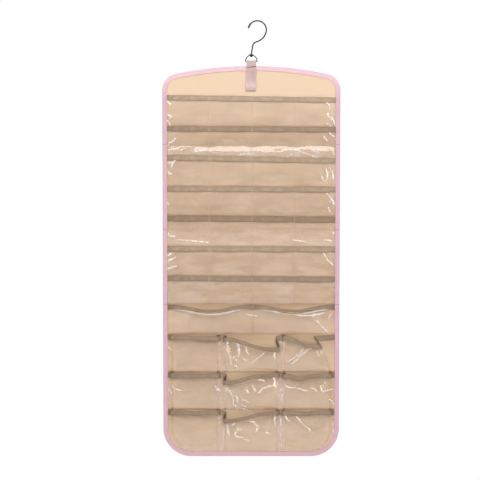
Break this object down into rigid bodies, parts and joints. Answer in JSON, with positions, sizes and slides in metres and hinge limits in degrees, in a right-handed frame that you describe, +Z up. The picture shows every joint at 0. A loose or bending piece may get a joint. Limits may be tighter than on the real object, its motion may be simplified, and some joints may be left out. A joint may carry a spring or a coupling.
{
  "type": "hanging jewelry organizer",
  "caption": "Tall fabric panel with rows of clear vinyl pockets under ribbon edges, bound all round and hung by a webbing tab and D-ring from a swivel wire hook.",
  "frame": {"origin": "the top of the inside of the hook's crook, where a rail touches it", "axes": "+Z up, pockets facing -Y, +X to the viewer's right"},
  "size_m": [0.425, 0.0248, 1.0502],
  "materials": {
    "hook_wire": "dark gunmetal, semi-gloss",
    "ring_wire": "dark gunmetal, semi-gloss",
    "tip_cap": "matt dipped vinyl",
    "webbing": "woven polyester webbing",
    "board": "plain sheet",
    "panel_fabric": "non-woven, matt",
    "binding": "folded tape, soft",
    "ribbon": "woven ribbon, slight sheen",
    "clear_vinyl": "clear, glossy, softly wrinkled"
  },
  "bodies": {
    "hook": {"hook": "hook_wire", "hook_tip_cap": "tip_cap"},
    "ring": {"d_ring": "ring_wire"},
    "panel": {"hanging_tab": "webbing", "stiffener_board": "board", "front_fabric": "panel_fabric", "back_fabric": "panel_fabric", "edge_binding": "binding", "pocket_row_1": "clear_vinyl", "pocket_row_2": "clear_vinyl", "pocket_row_3": "clear_vinyl", "pocket_row_4": "clear_vinyl", "pocket_row_5": "clear_vinyl", "pocket_row_6": "clear_vinyl", "pocket_row_7": "clear_vinyl", "pocket_row_8": "clear_vinyl", "pocket_row_9": "clear_vinyl", "pocket_row_10": "clear_vinyl", "pocket_row_11": "clear_vinyl", "trim_row_1": "ribbon", "trim_row_2": "ribbon", "trim_row_3": "ribbon", "trim_row_4": "ribbon", "trim_row_5": "ribbon", "trim_row_6": "ribbon", "trim_row_7": "ribbon", "trim_row_8": "ribbon", "trim_row_9": "ribbon", "trim_row_10": "ribbon", "trim_row_11": "ribbon"}
  },
  "joints": [
    {"name": "hook_swivel", "type": "hinge", "parent": "hook", "child": "ring", "pos_m": [-0.015, 0, -0.0814], "axis": [0, 0, 1], "continuous": true},
    {"name": "ring_tilt", "type": "hinge", "parent": "ring", "child": "panel", "pos_m": [-0.015, 0, -0.0967], "axis": [1, 0, 0], "range_deg": [-140, 140]}
  ]
}
